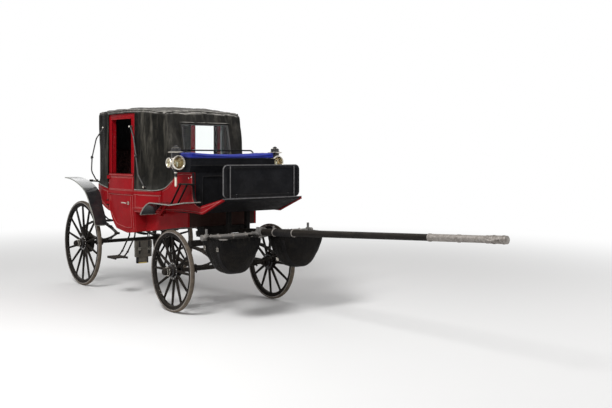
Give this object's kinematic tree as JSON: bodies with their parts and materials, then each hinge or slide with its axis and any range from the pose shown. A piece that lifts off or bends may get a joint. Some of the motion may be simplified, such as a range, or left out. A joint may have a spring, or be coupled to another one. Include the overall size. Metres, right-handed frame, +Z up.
{
  "type": "landau carriage",
  "caption": "Horse-drawn landau with raised leather hood, driver's box, steered front axle on a turntable, opening doors and a pole.",
  "frame": {"origin": "on the ground under the middle of the overall length, midway between the wheels", "axes": "+X forward, towards the pole's tip; +Y to the carriage's left; +Z up"},
  "size_m": [6.6917, 1.524, 2.2538],
  "materials": {
    "coach_red": "glossy coach enamel",
    "hood_leather": "dressed black leather, dusty",
    "ironwork_black": "gloss black enamel on iron",
    "wheel_black": "gloss black paint on wood",
    "tyre_rubber": "worn dusty rubber",
    "seat_blue": "royal blue woven cover",
    "box_leather": "black patent leather",
    "cabin_leather": "dark buttoned leather",
    "lamp_nickel": "polished nickel and glass",
    "window_glass": "clear",
    "floor_wood": "red-brown painted boards",
    "pole_black": "black painted ash, bare at the tip",
    "canvas_grey": "waxed canvas",
    "bag_black": "oiled black leather",
    "handle_nickel": "polished"
  },
  "bodies": {
    "carriage_body": {"rear_quarter_panels": "coach_red", "front_quarter_panels": "coach_red", "bottom_boards": "coach_red", "well_sides": "coach_red", "window_frames": "coach_red", "rear_hood": "hood_leather", "front_hood": "hood_leather", "front_window_glass": "window_glass", "boot_sides": "coach_red", "toe_board": "coach_red", "cabin_front_board": "floor_wood", "boot_front_panel": "box_leather", "driver_seat_box": "box_leather", "driver_cushion": "seat_blue", "dashboard": "box_leather", "rear_springs": "ironwork_black", "rear_axle": "ironwork_black", "body_irons": "ironwork_black", "turntable": "ironwork_black", "rear_fenders": "ironwork_black", "front_fenders": "ironwork_black", "driver_steps": "ironwork_black", "lamps": "lamp_nickel", "hood_irons": "ironwork_black", "hood_rests": "ironwork_black", "passenger_steps": "ironwork_black", "tool_pouches": "canvas_grey", "passenger_seat_boxes": "floor_wood", "passenger_cushions": "cabin_leather", "passenger_backs": "cabin_leather", "door_hinges": "ironwork_black"},
    "fore_carriage": {"fore_frame": "ironwork_black", "front_axle": "ironwork_black", "front_springs": "ironwork_black", "splinter_bar": "ironwork_black", "pole": "pole_black", "pole_head": "ironwork_black", "dung_bags": "bag_black"},
    "left_door": {"left_door": "coach_red", "left_door_handle": "handle_nickel"},
    "right_door": {"right_door": "coach_red", "right_door_handle": "handle_nickel"},
    "rear_left_wheel": {"rear_left_wheel": "wheel_black", "rear_left_tyre": "tyre_rubber"},
    "rear_right_wheel": {"rear_right_wheel": "wheel_black", "rear_right_tyre": "tyre_rubber"},
    "front_left_wheel": {"front_left_wheel": "wheel_black", "front_left_tyre": "tyre_rubber"},
    "front_right_wheel": {"front_right_wheel": "wheel_black", "front_right_tyre": "tyre_rubber"}
  },
  "joints": [
    {"name": "steering", "type": "hinge", "parent": "carriage_body", "child": "fore_carriage", "pos_m": [-0.485, 0, 0.8], "axis": [0, 0, 1], "range_deg": [-25, 25]},
    {"name": "left_door_hinge", "type": "hinge", "parent": "carriage_body", "child": "left_door", "pos_m": [-2.152, 0.60705, 1], "axis": [0, 0, 1], "range_deg": [0, 80]},
    {"name": "right_door_hinge", "type": "hinge", "parent": "carriage_body", "child": "right_door", "pos_m": [-2.152, -0.60705, 1], "axis": [0, 0, -1], "range_deg": [0, 80]},
    {"name": "rear_left_wheel_spin", "type": "hinge", "parent": "carriage_body", "child": "rear_left_wheel", "pos_m": [-2.805, 0.624, 0.54], "axis": [0, 1, 0], "continuous": true},
    {"name": "rear_right_wheel_spin", "type": "hinge", "parent": "carriage_body", "child": "rear_right_wheel", "pos_m": [-2.805, -0.624, 0.54], "axis": [0, 1, 0], "continuous": true},
    {"name": "front_left_wheel_spin", "type": "hinge", "parent": "fore_carriage", "child": "front_left_wheel", "pos_m": [-0.485, 0.624, 0.435], "axis": [0, 1, 0], "continuous": true},
    {"name": "front_right_wheel_spin", "type": "hinge", "parent": "fore_carriage", "child": "front_right_wheel", "pos_m": [-0.485, -0.624, 0.435], "axis": [0, 1, 0], "continuous": true}
  ]
}
